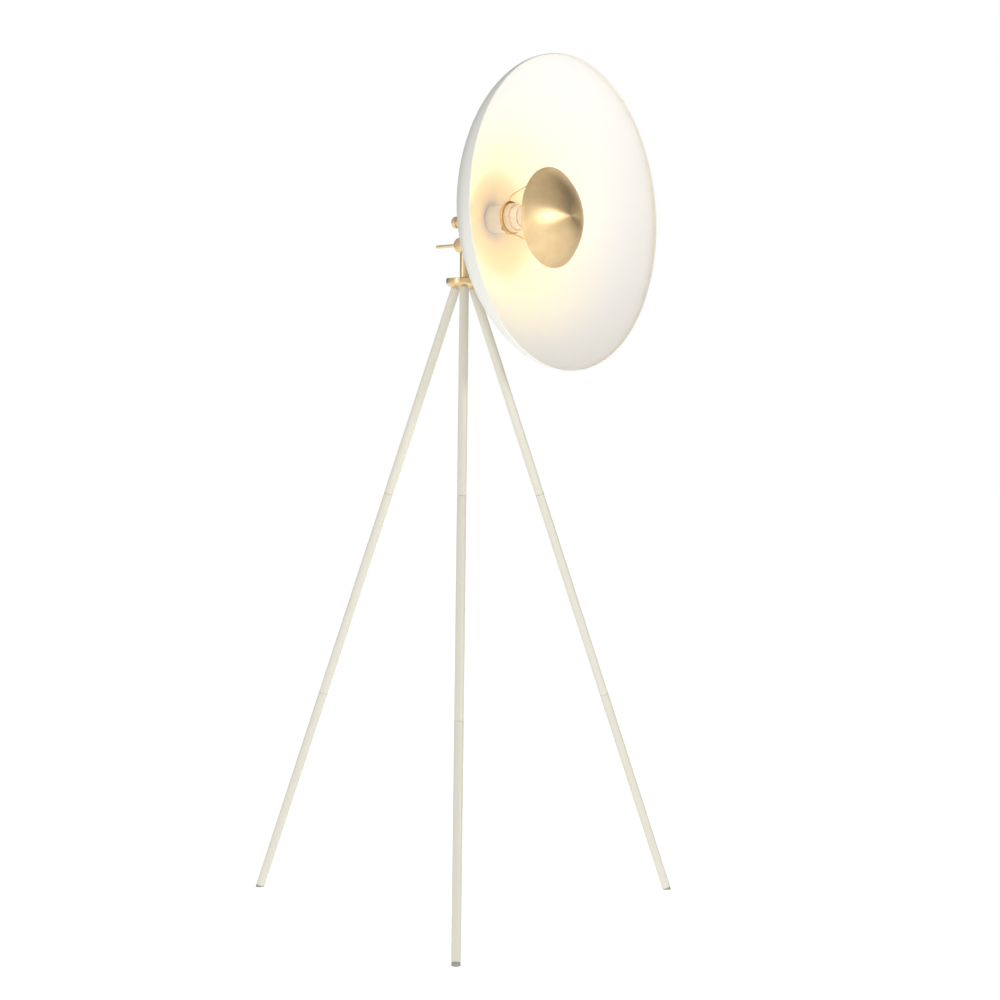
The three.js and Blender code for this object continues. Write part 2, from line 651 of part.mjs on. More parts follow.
// A wire and its brazed foot, laid out with +X away from the lamp axis and then turned to its angle.
function spiderWire(angle) {
  const sideways = -REFLECTOR_SAG * Math.cos(angle);
  const outwards = -REFLECTOR_SAG * Math.sin(angle);
  const ringMiddle = (ringBack + ringFront) / 2;
  const start = new THREE.Vector3(RING_RADIUS - 3, 0, ringMiddle);
  const knee = new THREE.Vector3(RING_RADIUS + 2, 0, ringMiddle);
  const bend = new THREE.Vector3(bendRadius, 0, bendZ);
  const stop = new THREE.Vector3(lug.x + outwards, sideways, lug.y);
  const before = bend.clone().lerp(knee, 0.4);
  const after = bend.clone().lerp(stop, 0.04);
  const path = new THREE.CurvePath();
  path.add(new THREE.LineCurve3(start, knee));
  path.add(new THREE.LineCurve3(knee, before));
  path.add(new THREE.QuadraticBezierCurve3(before, bend, after));
  path.add(new THREE.LineCurve3(after, stop));
  const section = new THREE.Shape().absarc(0, 0, WIRE_RADIUS, 0, 2 * Math.PI);
  const wire = new THREE.ExtrudeGeometry(section, {
    extrudePath: path,
    steps: 28,
    curveSegments: 3,
    bevelEnabled: false,
  });
  const lean = Math.atan2(lug.x, lug.y - ballCentre);
  const foot = rod(LUG_RADIUS, -LUG_THICKNESS / 2, LUG_THICKNESS / 2, 16)
    .rotateY(lean).translate(stop.x, stop.y, stop.z);
  return join(wire, foot).rotateZ(angle);
}

function shadeRing() {
  const inner = CORE_RADIUS + THREAD_GAP;
  const ring = turnedRing([
    P(inner, ringBack),
    P(RING_RADIUS - 1, ringBack),
    P(RING_RADIUS, ringBack + 1),
    P(RING_RADIUS, ringFront - 1),
    P(RING_RADIUS - 1, ringFront),
    P(inner, ringFront),
  ], 28);
  const drill = alongX(rod(WIRE_RADIUS + GAP, RING_RADIUS - 3 - GAP, RING_RADIUS + 5, 10));
  drill.translate(0, 0, (ringBack + ringFront) / 2);
  const holes = wireAngles.map((angle) => drill.clone().rotateZ(angle));
  return cut(ring, ...holes);
}
piece('shade_ring', shadeRing(), 'brass', barrel);

const lockRadius = CORE_RADIUS + THREAD_GAP + LOCK_WALL;
const lockLow = ringFront + GAP;
const lockHigh = lockLow + LOCK_LENGTH;
piece('lock_ring', turnedRing([
  P(CORE_RADIUS + THREAD_GAP, lockLow),
  P(lockRadius, lockLow),
  P(lockRadius, lockHigh - 2),
  P(lockRadius - 1.5, lockHigh),
  P(CORE_RADIUS + THREAD_GAP, lockHigh),
], 28), 'nylon', barrel);
wireAngles.forEach((angle, n) => {
  piece(`spider_wire_${n + 1}`, spiderWire(angle), 'brass', barrel);
});

// switch in the back of the stem, worked by the knob behind it
const capBack = STEM_BACK - GAP - 2;
const spigotFront = STEM_BACK + 3;
const stemBore = STEM_RADIUS - STEM_WALL;
const switchBack = spigotFront + GAP;
const switchFront = switchBack + 17;
const knobFront = capBack - GAP;
const knobBack = knobFront - KNOB_LENGTH;
const neckEnd = knobFront - 2.5;
const spindleEnd = knobBack + 3.5;
piece('stem_end_cap', turnedRing([
  P(NECK_RADIUS + GAP, capBack),
  P(STEM_RADIUS - 0.5, capBack),
  P(STEM_RADIUS, capBack + 0.5),
  P(STEM_RADIUS, STEM_BACK - GAP),
  P(stemBore - GAP, STEM_BACK - GAP),
  P(stemBore - GAP, spigotFront),
  P(NECK_RADIUS + GAP, spigotFront),
], 24), 'brass', barrel);
piece('rotary_switch', turned([
  P(0, switchBack + 2),
  P(SWITCH_SPINDLE + GAP, switchBack + 2),
  P(SWITCH_SPINDLE + GAP, neckEnd),
  P(NECK_RADIUS, neckEnd),
  P(NECK_RADIUS, switchBack),
  P(stemBore - 0.6, switchBack),
  P(stemBore - 0.6, switchFront),
  P(0, switchFront),
], 24), 'nylon', barrel);
piece('switch_spindle', rod(SWITCH_SPINDLE, spindleEnd, switchBack + 2 - GAP, 12), 'steel', barrel);

function switchKnob() {
  const knob = turned([
    P(0, knobBack),
    P(0.42 * KNOB_RADIUS, knobBack + 0.35),
    P(0.75 * KNOB_RADIUS, knobBack + 1.6),
    P(0.94 * KNOB_RADIUS, knobBack + 3.6),
    P(KNOB_RADIUS, knobBack + 6),
    P(KNOB_RADIUS, knobFront - 0.6),
    P(KNOB_RADIUS - 0.6, knobFront),
    P(0, knobFront),
  ], 24);
  const neckWay = rod(NECK_RADIUS + GAP, neckEnd - GAP, knobFront + 3, 20);
  const spindleWay = rod(SWITCH_SPINDLE + 0.2, spindleEnd - GAP, knobFront, 16);
  const screwWay = alongY(rod(KNOB_SCREW + 0.2, 0, KNOB_RADIUS + 3, 12)).translate(0, 0, knobScrewZ);
  return cut(knob, neckWay, spindleWay, screwWay);
}
const knobScrewZ = neckEnd - GAP - 1.8;
piece('switch_knob', switchKnob(), 'brass', barrel);
piece('knob_grub_screw', alongY(rod(KNOB_SCREW, SWITCH_SPINDLE + 0.2, KNOB_RADIUS - 0.8, 10))
  .translate(0, 0, knobScrewZ), 'steel', barrel);

// leads from the switch through the nipple to the lampholder
const leadLow = switchFront + GAP;
piece('live_lead', rod(LEAD_RADIUS, leadLow, cavityFloor - 0.2, 10).translate(1.7, 0, 0), 'red', barrel);
const neutralLead = rod(LEAD_RADIUS, leadLow, cavityFloor - 0.2, 10).translate(-1.7, 0, 0);
piece('neutral_lead', neutralLead, 'blue', barrel);

// the origin is the middle of the bounding box, on the floor
const bounds = new THREE.Box3().setFromObject(lamp, true);
const middle = bounds.getCenter(new THREE.Vector3());
lamp.position.set(-middle.x, -middle.y, -bounds.min.z);

export default lamp;
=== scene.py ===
"""A tripod floor lamp: enamelled legs and dish, brass fittings and a spun inner reflector."""
import json
import math

import bmesh
import bpy
from mathutils import Euler, Matrix, Vector


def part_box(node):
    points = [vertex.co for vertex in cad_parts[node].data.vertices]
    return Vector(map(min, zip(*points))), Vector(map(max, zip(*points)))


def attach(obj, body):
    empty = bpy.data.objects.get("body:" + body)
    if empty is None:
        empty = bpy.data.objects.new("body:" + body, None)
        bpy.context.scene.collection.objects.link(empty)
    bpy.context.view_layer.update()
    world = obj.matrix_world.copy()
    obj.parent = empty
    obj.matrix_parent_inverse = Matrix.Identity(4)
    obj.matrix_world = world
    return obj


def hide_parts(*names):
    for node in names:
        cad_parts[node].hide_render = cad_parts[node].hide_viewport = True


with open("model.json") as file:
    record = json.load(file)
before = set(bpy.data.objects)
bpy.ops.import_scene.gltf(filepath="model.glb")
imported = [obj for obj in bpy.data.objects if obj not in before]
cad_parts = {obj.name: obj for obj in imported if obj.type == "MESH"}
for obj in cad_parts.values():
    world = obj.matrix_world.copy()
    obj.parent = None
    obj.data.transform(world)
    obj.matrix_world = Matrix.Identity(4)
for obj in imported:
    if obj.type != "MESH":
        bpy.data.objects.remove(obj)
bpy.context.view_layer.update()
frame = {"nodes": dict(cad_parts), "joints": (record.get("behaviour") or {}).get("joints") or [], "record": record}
scene = bpy.context.scene
nodes = frame["nodes"]
joints = {joint["name"]: joint for joint in frame["joints"]}
body_of_node = {
    node: body
    for body, members in frame["record"]["behaviour"]["bodies"].items()
    for node in members
}
MM = 0.001

# ---------- places: the lamp's own axes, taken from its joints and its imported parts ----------
pan_axis = Vector(joints["head_pan"]["pos_m"])
pivot = Vector(joints["head_tilt"]["pos_m"])
lamp_axis = Vector(joints["switch_turn"]["axis"]).normalized()
lamp_origin = Vector(joints["switch_turn"]["pos_m"])


def place(origin, along, across):
    """The placement whose Z runs along the first direction and whose X runs close to the second."""
    z = Vector(along).normalized()
    y = z.cross(Vector(across)).normalized()
    turn = Matrix((y.cross(z), y, z)).transposed().to_4x4()
    return Matrix.Translation(origin) @ turn


SIDEWAYS = Vector((1, 0, 0))
BACKWARDS = Vector((0, 1, 0))
upright = place((pan_axis.x, pan_axis.y, 0), (0, 0, 1), SIDEWAYS)
across_pivot = place(pivot, SIDEWAYS, BACKWARDS)
on_axis = place(lamp_origin, lamp_axis, SIDEWAYS)
head_up = place(pivot, SIDEWAYS.cross(-lamp_axis), SIDEWAYS)


def reach(node, where):
    """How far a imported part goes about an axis: its low end, its high end and its radius."""
    inverse = where.inverted()
    points = [inverse @ vertex.co for vertex in nodes[node].data.vertices]
    heights = [point.z for point in points]
    return min(heights), max(heights), max(math.hypot(point.x, point.y) for point in points)


def centre_of(node):
    points = [vertex.co for vertex in nodes[node].data.vertices]
    return sum(points, Vector()) / len(points)


# ---------- camera, lights and floor ----------
CAMERA_ROUND = math.radians(51.3)      # from the way the head faces, towards its right-hand side
CAMERA_DISTANCE = 4.159
CAMERA_HEIGHT = 0.828
CAMERA_ASIDE = math.radians(0.88)
CAMERA_DOWN = math.radians(1.5)
CAMERA_LEAN = math.radians(0.334)

view_from = Vector((-math.sin(CAMERA_ROUND), -math.cos(CAMERA_ROUND), 0))
camera = bpy.data.objects.new("camera", bpy.data.cameras.new("camera"))
scene.collection.objects.link(camera)
camera.data.lens = 86.1
camera.data.sensor_width = 36
camera.data.clip_end = 100
camera.location = (
    Vector((pan_axis.x, pan_axis.y, CAMERA_HEIGHT)) + CAMERA_DISTANCE * view_from
)
level_turn = Euler((math.pi / 2 - CAMERA_DOWN, 0, -CAMERA_ROUND - CAMERA_ASIDE)).to_matrix()
camera.rotation_euler = (level_turn @ Matrix.Rotation(CAMERA_LEAN, 3, "Z")).to_euler()
scene.camera = camera
scene.view_settings.view_transform = "Standard"


def softbox(name, where, at, width, height, watts, colour=(1, 1, 1)):
    """A flat soft light facing a point."""
    lamp = bpy.data.objects.new(name, bpy.data.lights.new(name, "AREA"))
    scene.collection.objects.link(lamp)
    lamp.data.shape = "RECTANGLE"
    lamp.data.size = width
    lamp.data.size_y = height
    lamp.data.energy = watts
    lamp.data.color = colour
    lamp.location = where
    lamp.rotation_euler = (Vector(at) - Vector(where)).to_track_quat("-Z", "Y").to_euler()
    return lamp


# ---------- shapes ----------
def bend(start, first, second, end, steps):
    """Points of a smooth curve between two outline points."""
    points = []
    for i in range(steps + 1):
        t = i / steps
        weights = ((1 - t) ** 3, 3 * t * (1 - t) ** 2, 3 * t * t * (1 - t), t ** 3)
        points.append(tuple(
            sum(w * p[k] for w, p in zip(weights, (start, first, second, end)))
            for k in (0, 1)
        ))
    return points


def eased(corners, closed=False, steps=4):
    """An outline through corners (radius, height, ease): each corner is rounded off by its ease."""
    points = []
    count = len(corners)
    for i, corner in enumerate(corners):
        here = Vector(corner[:2])
        ease = corner[2] if len(corner) > 2 else 0
        if not ease or (not closed and i in (0, count - 1)):
            points.append(tuple(here))
            continue
        back = (Vector(corners[i - 1][:2]) - here).normalized() * ease
        ahead = (Vector(corners[(i + 1) % count][:2]) - here).normalized() * ease
        for k in range(steps + 1):
            t = k / steps
            points.append(tuple(here + back * (1 - t) ** 2 + ahead * t ** 2))
    return points


def new_piece(name, mesh, where):
    made = bpy.data.objects.new(name, mesh)
    scene.collection.objects.link(made)
    made.matrix_world = where
    return made


def smooth(mesh, angle=32):
    mesh.polygons.foreach_set("use_smooth", [True] * len(mesh.polygons))
    mesh.set_sharp_from_angle(angle=math.radians(angle))


def turned(name, where, outline, segments=96, ring=False):
    """Spins an outline of (radius, height) points, walked upwards on its outside, about Z."""
    work = bmesh.new()
    rows = []
    for radius, height in outline:
        if radius < 1e-7:
            rows.append([work.verts.new((0, 0, height))])
            continue
        rows.append([
            work.verts.new((
                radius * math.cos(2 * math.pi * i / segments),
                radius * math.sin(2 * math.pi * i / segments),
                height,
            ))
            for i in range(segments)
        ])
    pairs = list(zip(rows, rows[1:]))
    if ring:
        pairs.append((rows[-1], rows[0]))
    for low, high in pairs:
        for i in range(segments):
            j = (i + 1) % segments
            corners = [low[i % len(low)], low[j % len(low)],
                       high[j % len(high)], high[i % len(high)]]
            unique = list(dict.fromkeys(corners))
            if len(unique) > 2:
                work.faces.new(unique)
    mesh = bpy.data.meshes.new(name)
    work.to_mesh(mesh)
    work.free()
    smooth(mesh)
    return new_piece(name, mesh, where)


def rod(name, where, radius, low, high, segments=96, ease=0.0):
    outline = eased([(0, low), (radius, low, ease), (radius, high, ease), (0, high)])
    return turned(name, where, outline, segments)


def block(name, where, size, middle):
    """A plain box, used only to cut or build up other pieces."""
    work = bmesh.new()
    bmesh.ops.create_cube(work, size=1)
    bmesh.ops.scale(work, vec=size, verts=work.verts)
    bmesh.ops.translate(work, vec=middle, verts=work.verts)
    mesh = bpy.data.meshes.new(name)
    work.to_mesh(mesh)
    work.free()
    return new_piece(name, mesh, where)


def settle(made):
    """Applies a piece's modifiers to its mesh."""
    shapes = bpy.context.evaluated_depsgraph_get()
    mesh = bpy.data.meshes.new_from_object(made.evaluated_get(shapes))
    made.modifiers.clear()
    made.data = mesh
    return made


def machined(made, cuts=(), builds=(), edge=0.25 * MM):
    """Adds and cuts away other shapes, then breaks the sharp edges."""
    for kind, tools in (("UNION", builds), ("DIFFERENCE", cuts)):
        for tool in tools:
            step = made.modifiers.new(kind.lower(), "BOOLEAN")
            step.operation = kind
            step.solver = "EXACT"
            step.object = tool
    settle(made)
    for tool in (*cuts, *builds):
        bpy.data.objects.remove(tool)
    if edge:
        breaking = made.modifiers.new("edges", "BEVEL")
        breaking.width = edge
        breaking.segments = 2
        breaking.limit_method = "ANGLE"
        breaking.angle_limit = math.radians(38)
        breaking.use_clamp_overlap = True
        settle(made)
    smooth(made.data, 40)
    return made


def drawn_wire(name, where, path, radius):
    """A round wire along a path of points."""
    curve = bpy.data.curves.new(name, "CURVE")
    curve.dimensions = "3D"
    curve.bevel_depth = radius
    curve.bevel_resolution = 5
    curve.use_fill_caps = True
    run = curve.splines.new("POLY")
    run.points.add(len(path) - 1)
    for point, position in zip(run.points, path):
        point.co = (*position, 1)
    made = new_piece(name, curve, where)
    shapes = bpy.context.evaluated_depsgraph_get()
    mesh = bpy.data.meshes.new_from_object(made.evaluated_get(shapes))
    bpy.data.objects.remove(made)
    smooth(mesh, 50)
    return new_piece(name, mesh, where)


# ---------- finishes ----------
class Value:
    """A number or a colour on its way through a finish, used in ordinary sums."""

    def __init__(self, finish, socket):
        self.finish = finish
        self.socket = socket

    def worked(self, operation, *terms):
        return self.finish.add("ShaderNodeMath", {"operation": operation}, dict(enumerate(terms)))

    def __add__(self, other):
        return self.worked("ADD", self, other)

    __radd__ = __add__

    def __sub__(self, other):
        return self.worked("SUBTRACT", self, other)

    def __rsub__(self, other):
        return self.worked("SUBTRACT", other, self)

    def __mul__(self, other):
        return self.worked("MULTIPLY", self, other)

    __rmul__ = __mul__

    def __truediv__(self, other):
        return self.worked("DIVIDE", self, other)

    def __pow__(self, other):
        return self.worked("POWER", self, other)


class Finish:
    """One material, built up node by node."""

    def __init__(self, name):
        self.material = bpy.data.materials.new(name)
        self.material.use_nodes = True
        self.tree = self.material.node_tree
        self.tree.nodes.clear()
        self.spot = self.add("ShaderNodeTexCoord", output="Object")

    def add(self, kind, settings=None, sockets=None, output=0):
        """Adds a node: its settings first, then its sockets' values or links."""
        node = self.tree.nodes.new(kind)
        for key, value in (settings or {}).items():
            if key == "stops":
                while len(node.color_ramp.elements) < len(value):
                    node.color_ramp.elements.new(0.5)
                for stop, (position, colour) in zip(node.color_ramp.elements, value):
                    stop.position = position
                    stop.color = (*colour, 1)
            else:
                setattr(node, key, value)
        for key, value in (sockets or {}).items():
            if isinstance(value, Value):
                self.tree.links.new(value.socket, node.inputs[key])
            else:
                node.inputs[key].default_value = value
        return Value(self, node.outputs[output])

    def grain(self, size, detail=2.0, at=None, roughness=0.5):
        """Soft noise between 0 and 1, whose lumps are about one size across, in metres."""
        sockets = {"Vector": at or self.spot, "Scale": 1 / size, "Detail": detail,
                   "Roughness": roughness}
        return self.add("ShaderNodeTexNoise", {}, sockets)

    def range(self, value, low, high, to_low, to_high):
        sockets = {"Value": value, "From Min": low, "From Max": high,
                   "To Min": to_low, "To Max": to_high}
        return self.add("ShaderNodeMapRange", {"clamp": True}, sockets)

    def blend(self, amount, first, second):
        """One colour laid over another by an amount."""
        sockets = {0: amount}
        for index, colour in ((6, first), (7, second)):
            sockets[index] = colour if isinstance(colour, Value) else (*colour, 1)
        return self.add("ShaderNodeMix", {"data_type": "RGBA"}, sockets, output=2)

    def parts(self):
        """X, Y and Z of the spot on the piece."""
        split = self.add("ShaderNodeSeparateXYZ", {}, {0: self.spot})
        outputs = split.socket.node.outputs
        return [Value(self, outputs[k]) for k in range(3)]

    def radius(self):
        """Distance from the piece's own axis."""
        x, y, _ = self.parts()
        return (x * x + y * y) ** 0.5

    def rings(self, pitch, detail=2.0):
        """Fine turning marks that run round the piece's own axis."""
        _, _, z = self.parts()
        at = self.add("ShaderNodeCombineXYZ", {}, {0: self.radius(), 1: z, 2: 0.0})
        return self.grain(pitch, detail, at, 0.7)

    def relief(self, height, depth, strength=1.0):
        """A normal from a height between 0 and 1, for a depth in metres."""
        sockets = {"Height": height, "Distance": depth, "Strength": strength}
        return self.add("ShaderNodeBump", {}, sockets)

    def done(self, **sockets):
        named = {key.replace("_", " "): value for key, value in sockets.items()}
        for key in ("Base Color", "Emission Color", "Coat Tint"):
            if key in named and not isinstance(named[key], Value):
                named[key] = (*named[key], 1)
        shader = self.add("ShaderNodeBsdfPrincipled", {}, named)
        out = self.tree.nodes.new("ShaderNodeOutputMaterial")
        self.tree.links.new(shader.socket, out.inputs["Surface"])
        return self.material


def enamel(name, colour, shade, roughness=0.42):
    """Baked powder enamel: a faint orange peel, tiny specks and a soft change of tone."""
    finish = Finish(name)
    drift = finish.grain(0.09, 3)
    peel = finish.grain(0.0016, 2)
    specks = finish.range(finish.grain(0.0007, 1), 0.66, 0.74, 0, 1)
    tone = finish.blend(drift, colour, shade)
    tone = finish.blend(specks * 0.12, tone, tuple(0.72 * c for c in shade))
    return finish.done(
        Base_Color=tone,
        Roughness=roughness - 0.05 + 0.1 * finish.grain(0.012, 3),
        Coat_Weight=0.25,
        Coat_Roughness=0.3,
        Normal=finish.relief(peel, 0.00005, 0.5),
    )


BRASS_LIGHT = (0.79, 0.60, 0.35)
BRASS_DEEP = (0.70, 0.51, 0.27)


def spun_brass(name, roughness, anisotropy, pitch=0.0006, light=BRASS_LIGHT, deep=BRASS_DEEP):
    """Brass turned or spun on the lathe, its fine marks running round the axis."""
    finish = Finish(name)
    marks = finish.rings(pitch, 4)
    cloud = finish.grain(0.02, 3)
    tone = finish.blend(finish.range(cloud, 0.3, 0.7, 0, 1), light, deep)
    tone = finish.blend(0.25 * marks, tone, deep)
    return finish.done(
        Base_Color=tone,
        Metallic=1.0,
        Roughness=roughness - 0.05 + 0.06 * cloud + 0.05 * marks,
        Anisotropic=anisotropy,
        Anisotropic_Rotation=0.25,
        Normal=finish.relief(marks, 0.00002, 0.35),
    )


def satin_brass(name, roughness=0.33):
    """Brass with a rubbed satin face, for milled and bent pieces."""
    finish = Finish(name)
    rub = finish.grain(0.0005, 3)
    cloud = finish.grain(0.012, 3)
    tone = finish.blend(finish.range(cloud, 0.3, 0.7, 0, 1), BRASS_LIGHT, BRASS_DEEP)
    tone = finish.blend(0.2 * rub, tone, BRASS_DEEP)
    return finish.done(
        Base_Color=tone,
        Metallic=1.0,
        Roughness=roughness - 0.04 + 0.08 * cloud,
        Normal=finish.relief(rub, 0.00002, 0.3),
    )


def zinc_plate(name):
    """Zinc plated steel: cloudy, with fine scratches."""
    finish = Finish(name)
    cloud = finish.grain(0.004, 4)
    scratch = finish.rings(0.0004, 3)
    tone = finish.blend(cloud, (0.50, 0.50, 0.48), (0.68, 0.67, 0.62))
    return finish.done(
        Base_Color=tone,
        Metallic=1.0,
        Roughness=0.32 + 0.2 * cloud,
        Normal=finish.relief(scratch, 0.00002, 0.4),
    )


def moulding(name, colour, shade, roughness=0.5, size=0.0008, coat=0.0):
    """A moulded finish with a fine even grain: rubber, nylon, plastic or a lead's cover."""
    finish = Finish(name)
    grain = finish.grain(size, 2)
    drift = finish.grain(12 * size, 2)
    return finish.done(
        Base_Color=finish.blend(drift, colour, shade),
        Roughness=roughness - 0.06 + 0.12 * grain,
        Coat_Weight=coat,
        Normal=finish.relief(grain, 0.00004, 0.4),
    )


def glazed_ceramic(name):
    """White electrical ceramic under a clear glaze, with a few iron specks."""
    finish = Finish(name)
    specks = finish.range(finish.grain(0.0011, 1), 0.7, 0.76, 0, 1)
    body = finish.blend(finish.grain(0.02, 3), (0.84, 0.82, 0.76), (0.90, 0.88, 0.83))
    return finish.done(
        Base_Color=finish.blend(specks * 0.4, body, (0.45, 0.38, 0.30)),
        Roughness=0.22 + 0.1 * finish.grain(0.006, 2),
        Coat_Weight=0.6,
        Coat_Roughness=0.08,
        Normal=finish.relief(finish.grain(0.005, 2), 0.00008, 0.4),
    )


GLOW_COLOUR = (1.0, 0.62, 0.25)
GLOW_EDGE = (1.0, 0.50, 0.16)


def opal_glow(name, strength):
    """Opal plastic lit from inside, a little dimmer towards its foot."""
    finish = Finish(name)
    low, high, _ = reach("bulb_dome", on_axis)
    _, _, z = finish.parts()
    climb = finish.range(z, low, low + 0.4 * (high - low), 0, 1)
    frost = finish.grain(0.001, 2)
    return finish.done(
        Base_Color=finish.blend(frost, (0.93, 0.88, 0.78), (0.98, 0.94, 0.86)),
        Roughness=0.35 + 0.1 * frost,
        Emission_Color=finish.blend(climb, GLOW_EDGE, GLOW_COLOUR),
        Emission_Strength=strength,
        Normal=finish.relief(frost, 0.00003, 0.3),
    )


ivory = enamel("ivory_enamel", (0.73, 0.70, 0.60), (0.70, 0.665, 0.56))
pale = enamel("outside_enamel", (0.76, 0.76, 0.70), (0.73, 0.73, 0.67))
white = enamel("inside_enamel", (0.83, 0.83, 0.81), (0.81, 0.81, 0.79), 0.5)
# The rolled rim is the same enamel as the dish's inside, painted darker and beiger here: painted shade on the rim.
rim_enamel = enamel("rim_enamel", (0.80, 0.78, 0.71), (0.77, 0.75, 0.68))
fine_brass = spun_brass("turned_brass", 0.28, 0.45)
reflector_brass = spun_brass("spun_brass", 0.40, 0.8, 0.0009, (0.82, 0.62, 0.35), (0.76, 0.55, 0.29))
plain_brass = satin_brass("satin_brass")
zinc = zinc_plate("zinc_plate")
rubber = moulding("grey_rubber", (0.36, 0.355, 0.32), (0.30, 0.295, 0.26), 0.8)
nylon = moulding("white_nylon", (0.80, 0.77, 0.70), (0.74, 0.71, 0.63), 0.5)
housing_plastic = moulding("lamp_plastic", (0.90, 0.87, 0.80), (0.86, 0.83, 0.75), 0.4, coat=0.2)
ceramic = glazed_ceramic("glazed_ceramic")
opal = opal_glow("opal_plastic", 3.5)
brown_cover = moulding("brown_lead", (0.25, 0.08, 0.05), (0.2, 0.06, 0.04), 0.5)
blue_cover = moulding("blue_lead", (0.05, 0.1, 0.25), (0.04, 0.08, 0.2), 0.5)


def stands_for(made, node, finish):
    """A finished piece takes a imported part's place: it rides on the same body."""
    made.data.materials.clear()
    for one in finish if isinstance(finish, tuple) else (finish,):
        made.data.materials.append(one)
    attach(made, body_of_node[node])
    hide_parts(node)
    return made


# ---------- stand ----------
LEG_BORE = 6.5 * MM
COLLAR_BORE = 4.3 * MM
COLLAR_LENGTH = 20 * MM
SEAT_CLEARANCE = 0.15 * MM

leg_places = {}
for leg in "abc":
    top = centre_of(f"leg_{leg}_tube_1")
    foot = centre_of(f"leg_{leg}_tube_3")
    leg_places[leg] = place(foot, top - foot, SIDEWAYS)

hub_low, hub_high, hub_radius = reach("hub_bowl", upright)
HUB_FLAT = 13 * MM
HUB_EDGE = 8.5 * MM
hub_shoulder = hub_high - HUB_EDGE
hub_curve = bend(
    (HUB_FLAT, hub_low),
    (HUB_FLAT + 9 * MM, hub_low),
    (hub_radius, hub_shoulder - 3.5 * MM),
    (hub_radius, hub_shoulder),
    14,
)
hub_top = eased([
    (hub_radius, hub_shoulder),
    (hub_radius, hub_high, 0.9 * MM),
    (0, hub_high),
])
hub_bore = reach("pan_spindle", upright)[2] + 0.3 * MM
hub_cuts = [rod("bore", upright, hub_bore, hub_low - 0.01, hub_high + 0.01)]
for leg, where in leg_places.items():
    _, tube_high, tube_radius = reach(f"leg_{leg}_tube_1", where)
    hub_cuts.append(rod("seat", where, tube_radius + SEAT_CLEARANCE, tube_high - 0.03,
                        tube_high + 0.3 * MM, 48))
    stud_low, stud_high, stud_radius = reach(f"leg_stud_{leg}", where)
    hub_cuts.append(rod("stud_way", where, stud_radius + 0.2 * MM, stud_low,
                        stud_high + 0.3 * MM, 32))
hub = turned("hub_turned", upright, [(0, hub_low), *hub_curve[:-1], *hub_top], 128)
stands_for(machined(hub, cuts=hub_cuts), "hub_bowl", fine_brass)

for leg, where in leg_places.items():
    for section in (1, 2, 3):
        node = f"leg_{leg}_tube_{section}"
        low, high, radius = reach(node, where)
        collar_low = high - COLLAR_LENGTH
        outline = eased([
            (LEG_BORE, low),
            (radius, low, 0.12 * MM),
            (radius, high, 0.12 * MM),
            (COLLAR_BORE, high),
            (COLLAR_BORE, collar_low),
            (LEG_BORE, collar_low),
        ], closed=True)
        tube = turned(f"leg_{leg}_{section}_enamelled", where, outline, 64, ring=True)
        stands_for(tube, node, ivory)

    node = f"foot_glide_{leg}"
    low, high, radius = reach(node, where)
    tube_low = reach(f"leg_{leg}_tube_3", where)[0]
    glide = turned(f"glide_{leg}_moulded", where, eased([
        (0, low - 3 * MM),
        (radius, low - 3 * MM),
        (radius, tube_low - 0.3 * MM, 0.5 * MM),
        (LEG_BORE - 0.3 * MM, tube_low - 0.3 * MM),
        (LEG_BORE - 0.3 * MM, high, 0.8 * MM),
        (0, high),
    ]), 64)
    below = block("below_floor", Matrix.Translation(glide.matrix_world @ Vector((0, 0, low))),
                  (0.06, 0.06, 0.04), (0, 0, 0))
    below.location.z = -0.02
    machined(glide, cuts=[below], edge=0.4 * MM)
    glide.data.transform(glide.matrix_world)
    glide.matrix_world = Matrix.Identity(4)
    stands_for(glide, node, rubber)

bush_low, bush_high, bush_radius = reach("cord_bush", upright)
CORD_WAY = 3 * MM
bush = turned("cord_bush_moulded", upright, eased([
    (CORD_WAY, bush_low, 0.8 * MM),
    (bush_radius - 0.6 * MM, bush_low, 0.6 * MM),
    (bush_radius, bush_low + 1.2 * MM, 0.2 * MM),
    (bush_radius, bush_high),
    (CORD_WAY, bush_high),
], closed=True), 64, ring=True)
stands_for(bush, "cord_bush", rubber)

# ---------- swivel ----------
POST_BORE = 5.3 * MM
low, high, radius = reach("pan_washer", upright)
washer = turned("pan_washer_cut", upright, eased([
    (POST_BORE, low, 0.2 * MM),
    (radius - 0.2 * MM, low, 0.3 * MM),
    (radius - 0.2 * MM, high, 0.3 * MM),
    (POST_BORE, high, 0.2 * MM),
], closed=True), 64, ring=True)
stands_for(washer, "pan_washer", nylon)

post_low, post_high, post_radius = reach("post", upright)
screw_low, screw_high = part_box("pan_grub_screw")
screw_middle = (screw_low + screw_high) / 2
screw_place = place(Vector((pan_axis.x, pan_axis.y, screw_middle.z)), BACKWARDS, SIDEWAYS)
post = turned("post_turned", upright, eased([
    (POST_BORE, post_low),
    (post_radius, post_low, 0.5 * MM),
    (post_radius, post_high, 0.5 * MM),
    (POST_BORE, post_high),
], closed=True), 96, ring=True)
screw_hole = rod("screw_hole", screw_place, 2.2 * MM, 0, 0.02, 32)
stands_for(machined(post, cuts=[screw_hole], edge=0.2 * MM), "post", fine_brass)


def hex_socket(name, where, across_flats, low, high):
    """A six-sided hole for a key."""
    return rod(name, where, across_flats / math.sqrt(3), low, high, 6)


low, high, radius = reach("pan_grub_screw", screw_place)
grub = rod("pan_grub_screw_socketed", screw_place, radius, low, high, 48, 0.3 * MM)
key_way = hex_socket("key_way", screw_place, 2 * MM, high - 1.6 * MM, high + 0.01)
stands_for(machined(grub, cuts=[key_way], edge=0), "pan_grub_screw", zinc)

